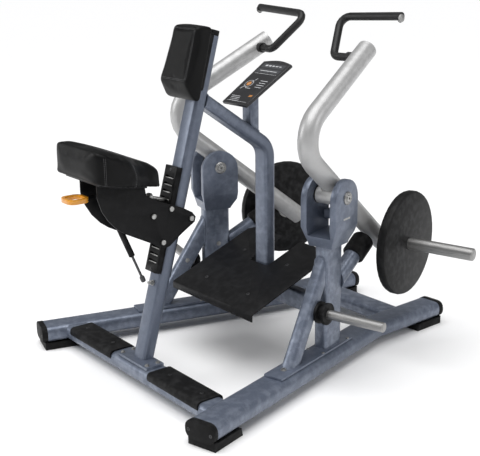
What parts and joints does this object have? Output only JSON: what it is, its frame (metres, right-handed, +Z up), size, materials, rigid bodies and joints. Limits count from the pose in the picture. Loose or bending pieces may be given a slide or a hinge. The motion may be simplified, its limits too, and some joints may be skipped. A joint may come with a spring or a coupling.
{
  "type": "plate-loaded seated row machine",
  "caption": "Plate-loaded seated row machine: chest pad, adjustable seat, two pivoting arms with handles and weight horns on a floor frame.",
  "frame": {"origin": "centre of the bounding box's footprint, on the floor under the feet", "axes": "+Z up; +Y the way the seated user faces, towards the chest pad, arms and discs; +X to the user's right; X = 0 is the symmetry plane"},
  "size_m": [1.3616, 1.6327, 1.3543],
  "materials": {
    "frame_paint": "satin metallic blue-grey powder coat",
    "arm_silver": "satin silver paint",
    "steel": "brushed bright steel",
    "plate_black": "matte black coating",
    "black_rubber": "matte moulded rubber",
    "black_plastic": "satin moulded plastic",
    "black_sheet": "fine-textured black powder coat on steel sheet",
    "black_vinyl": "soft black upholstery vinyl",
    "lever_orange": "glossy orange dip coat"
  },
  "bodies": {
    "frame": {"rail_right": "frame_paint", "rail_left": "frame_paint", "front_cross_tube": "frame_paint", "rear_cross_tube": "frame_paint", "end_foot_front_right": "black_rubber", "end_foot_rear_right": "black_rubber", "end_foot_front_left": "black_rubber", "end_foot_rear_left": "black_rubber", "step_grip_right": "black_rubber", "step_grip_left": "black_rubber", "base_plate_right": "frame_paint", "column_right": "frame_paint", "leg_right": "frame_paint", "stop_tube_right": "frame_paint", "bump_stop_right": "black_rubber", "yoke_right": "frame_paint", "pivot_shaft_right": "steel", "storage_collar_right": "black_rubber", "storage_bar_right": "steel", "base_plate_left": "frame_paint", "column_left": "frame_paint", "leg_left": "frame_paint", "stop_tube_left": "frame_paint", "bump_stop_left": "black_rubber", "yoke_left": "frame_paint", "pivot_shaft_left": "steel", "storage_collar_left": "black_rubber", "storage_bar_left": "steel", "middle_cross_beam": "frame_paint", "seat_mast": "frame_paint", "mast_cap": "black_plastic", "rack_cover": "black_plastic", "guide_strip": "black_plastic", "strut_stud": "steel", "brace_post": "frame_paint", "chest_board": "black_plastic", "chest_pad": "black_vinyl", "foot_plate": "black_sheet", "plate_bracket": "black_sheet", "placard_panel": "black_plastic", "placard_post": "frame_paint"},
    "arm_right": {"arm_tube_right": "arm_silver", "handle_right": "black_rubber", "weight_horn_right": "steel"},
    "plate_right": {"weight_plate_right": "plate_black"},
    "arm_left": {"arm_tube_left": "arm_silver", "handle_left": "black_rubber", "weight_horn_left": "steel"},
    "plate_left": {"weight_plate_left": "plate_black"},
    "seat": {"seat_cushion": "black_vinyl", "seat_pan": "black_sheet", "seat_cheek_left": "black_sheet", "seat_cheek_right": "black_sheet", "roller_rear": "steel", "roller_front_upper": "steel", "roller_front_lower": "steel"},
    "lever": {"release_lever": "lever_orange"},
    "lock": {"lock_pin": "steel"},
    "strut_tube": {"strut_tube": "black_plastic"},
    "strut_rod": {"strut_rod": "steel"}
  },
  "joints": [
    {"name": "arm_right_pivot", "type": "hinge", "parent": "frame", "child": "arm_right", "pos_m": [0.36, 0.0887, 0.699], "axis": [0.9652, 0.2613, 0], "range_deg": [0, 50]},
    {"name": "arm_left_pivot", "type": "hinge", "parent": "frame", "child": "arm_left", "pos_m": [-0.36, 0.0887, 0.699], "axis": [0.9652, -0.2613, 0], "range_deg": [0, 50]},
    {"name": "plate_right_slide", "type": "slide", "parent": "arm_right", "child": "plate_right", "axis": [0.9652, 0.2613, 0], "range_m": [0, 0.2]},
    {"name": "plate_left_slide", "type": "slide", "parent": "arm_left", "child": "plate_left", "axis": [-0.9652, 0.2613, 0], "range_m": [0, 0.2]},
    {"name": "seat_height", "type": "slide", "parent": "frame", "child": "seat", "axis": [0, 0.2723, 0.9622], "range_m": [-0.05, 0.07]},
    {"name": "lever_pivot", "type": "hinge", "parent": "seat", "child": "lever", "pos_m": [0, -0.4963, 0.659], "axis": [-1, 0, 0], "range_deg": [0, 6], "stiffness_Nm_per_rad": 4, "springref_deg": -2.86},
    {"name": "lock_pin_slide", "type": "slide", "parent": "seat", "child": "lock", "axis": [0, -0.9622, 0.2723], "range_m": [0, 0.0125]},
    {"name": "strut_tube_pivot", "type": "hinge", "parent": "seat", "child": "strut_tube", "pos_m": [0, -0.6213, 0.66], "axis": [1, 0, 0], "range_deg": [-9, 6.5]},
    {"name": "strut_rod_slide", "type": "slide", "parent": "strut_tube", "child": "strut_rod", "axis": [0, 0.3921, -0.9199], "range_m": [-0.042, 0.058]}
  ],
  "couplings": [
    {"joint": "lock_pin_slide", "follows": "lever_pivot", "m_per_rad": 0.1146},
    {"joint": "strut_tube_pivot", "follows": "seat_height", "rad_per_m": -2.18},
    {"joint": "strut_rod_slide", "follows": "seat_height", "ratio": 0.79}
  ]
}
